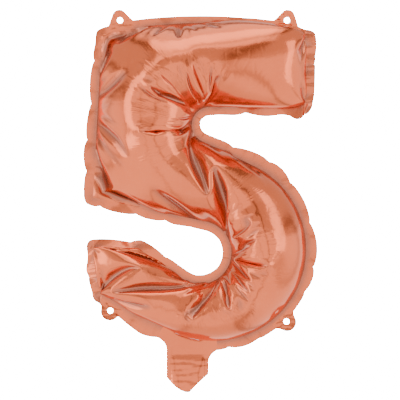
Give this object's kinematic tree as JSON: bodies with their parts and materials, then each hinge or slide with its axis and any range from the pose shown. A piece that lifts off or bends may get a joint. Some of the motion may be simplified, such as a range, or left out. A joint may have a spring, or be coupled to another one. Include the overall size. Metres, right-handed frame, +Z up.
{
  "type": "foil number balloon",
  "caption": "Air-filled foil balloon in the shape of the figure 5, with a welded flat margin, four punched hanging tabs and a self-sealing inflation neck.",
  "frame": {"origin": "hanging line: halfway between the two top tab holes, on the seam plane", "axes": "+Z up as it hangs, +X to the right of the figure as it is read, front of the figure faces -Y"},
  "size_m": [0.2306, 0.084, 0.3821],
  "materials": {
    "rose_gold_foil": "satin mirror, metallised film drawn tight and creased at the inner bends",
    "rose_gold_weld": "satin, two welded layers, lightly crinkled",
    "valve_film": "translucent, limp"
  },
  "bodies": {
    "balloon": {"front_film": "rose_gold_foil", "back_film": "rose_gold_foil", "seam_margin": "rose_gold_weld", "valve_front_film": "valve_film", "valve_back_film": "valve_film"},
    "neck": {"neck_front_film": "rose_gold_foil", "neck_back_film": "rose_gold_foil", "valve_front_entry": "valve_film", "valve_back_entry": "valve_film"},
    "tab_top_left": {"hanging_tab_top_left": "rose_gold_weld"},
    "tab_top_right": {"hanging_tab_top_right": "rose_gold_weld"},
    "tab_bottom_left": {"hanging_tab_bottom_left": "rose_gold_weld"},
    "tab_bottom_right": {"hanging_tab_bottom_right": "rose_gold_weld"},
    "valve_front": {"valve_front_lip": "valve_film"},
    "valve_back": {"valve_back_lip": "valve_film"}
  },
  "joints": [
    {"name": "neck_fold", "type": "hinge", "parent": "balloon", "child": "neck", "pos_m": [-0.016, 0, -0.33258], "axis": [1, 0, 0], "range_deg": [-110, 110], "stiffness_Nm_per_rad": 0.0005},
    {"name": "tab_top_left_fold", "type": "hinge", "parent": "balloon", "child": "tab_top_left", "pos_m": [-0.08197, 0, -0.00786], "axis": [0.9824, 0, 0.1865], "range_deg": [-90, 90], "stiffness_Nm_per_rad": 0.0001},
    {"name": "tab_top_right_fold", "type": "hinge", "parent": "balloon", "child": "tab_top_right", "pos_m": [0.08197, 0, -0.00786], "axis": [0.9824, 0, -0.1865], "range_deg": [-90, 90], "stiffness_Nm_per_rad": 0.0001},
    {"name": "tab_bottom_left_fold", "type": "hinge", "parent": "balloon", "child": "tab_bottom_left", "pos_m": [-0.08945, 0, -0.28317], "axis": [-0.8876, 0, 0.4607], "range_deg": [-90, 90], "stiffness_Nm_per_rad": 0.0001},
    {"name": "tab_bottom_right_fold", "type": "hinge", "parent": "balloon", "child": "tab_bottom_right", "pos_m": [0.07732, 0, -0.2954], "axis": [-0.7071, 0, -0.7071], "range_deg": [-90, 90], "stiffness_Nm_per_rad": 0.0001},
    {"name": "valve_front_lip_bulge", "type": "hinge", "parent": "balloon", "child": "valve_front", "pos_m": [-0.016, -0.0002, -0.30864], "axis": [1, 0, 0], "range_deg": [0, 8], "stiffness_Nm_per_rad": 0.00002},
    {"name": "valve_back_lip_bulge", "type": "hinge", "parent": "balloon", "child": "valve_back", "pos_m": [-0.016, 0.0002, -0.30864], "axis": [1, 0, 0], "range_deg": [-8, 0], "stiffness_Nm_per_rad": 0.00002}
  ],
  "couplings": [
    {"joint": "valve_back_lip_bulge", "follows": "valve_front_lip_bulge", "ratio": -1}
  ]
}
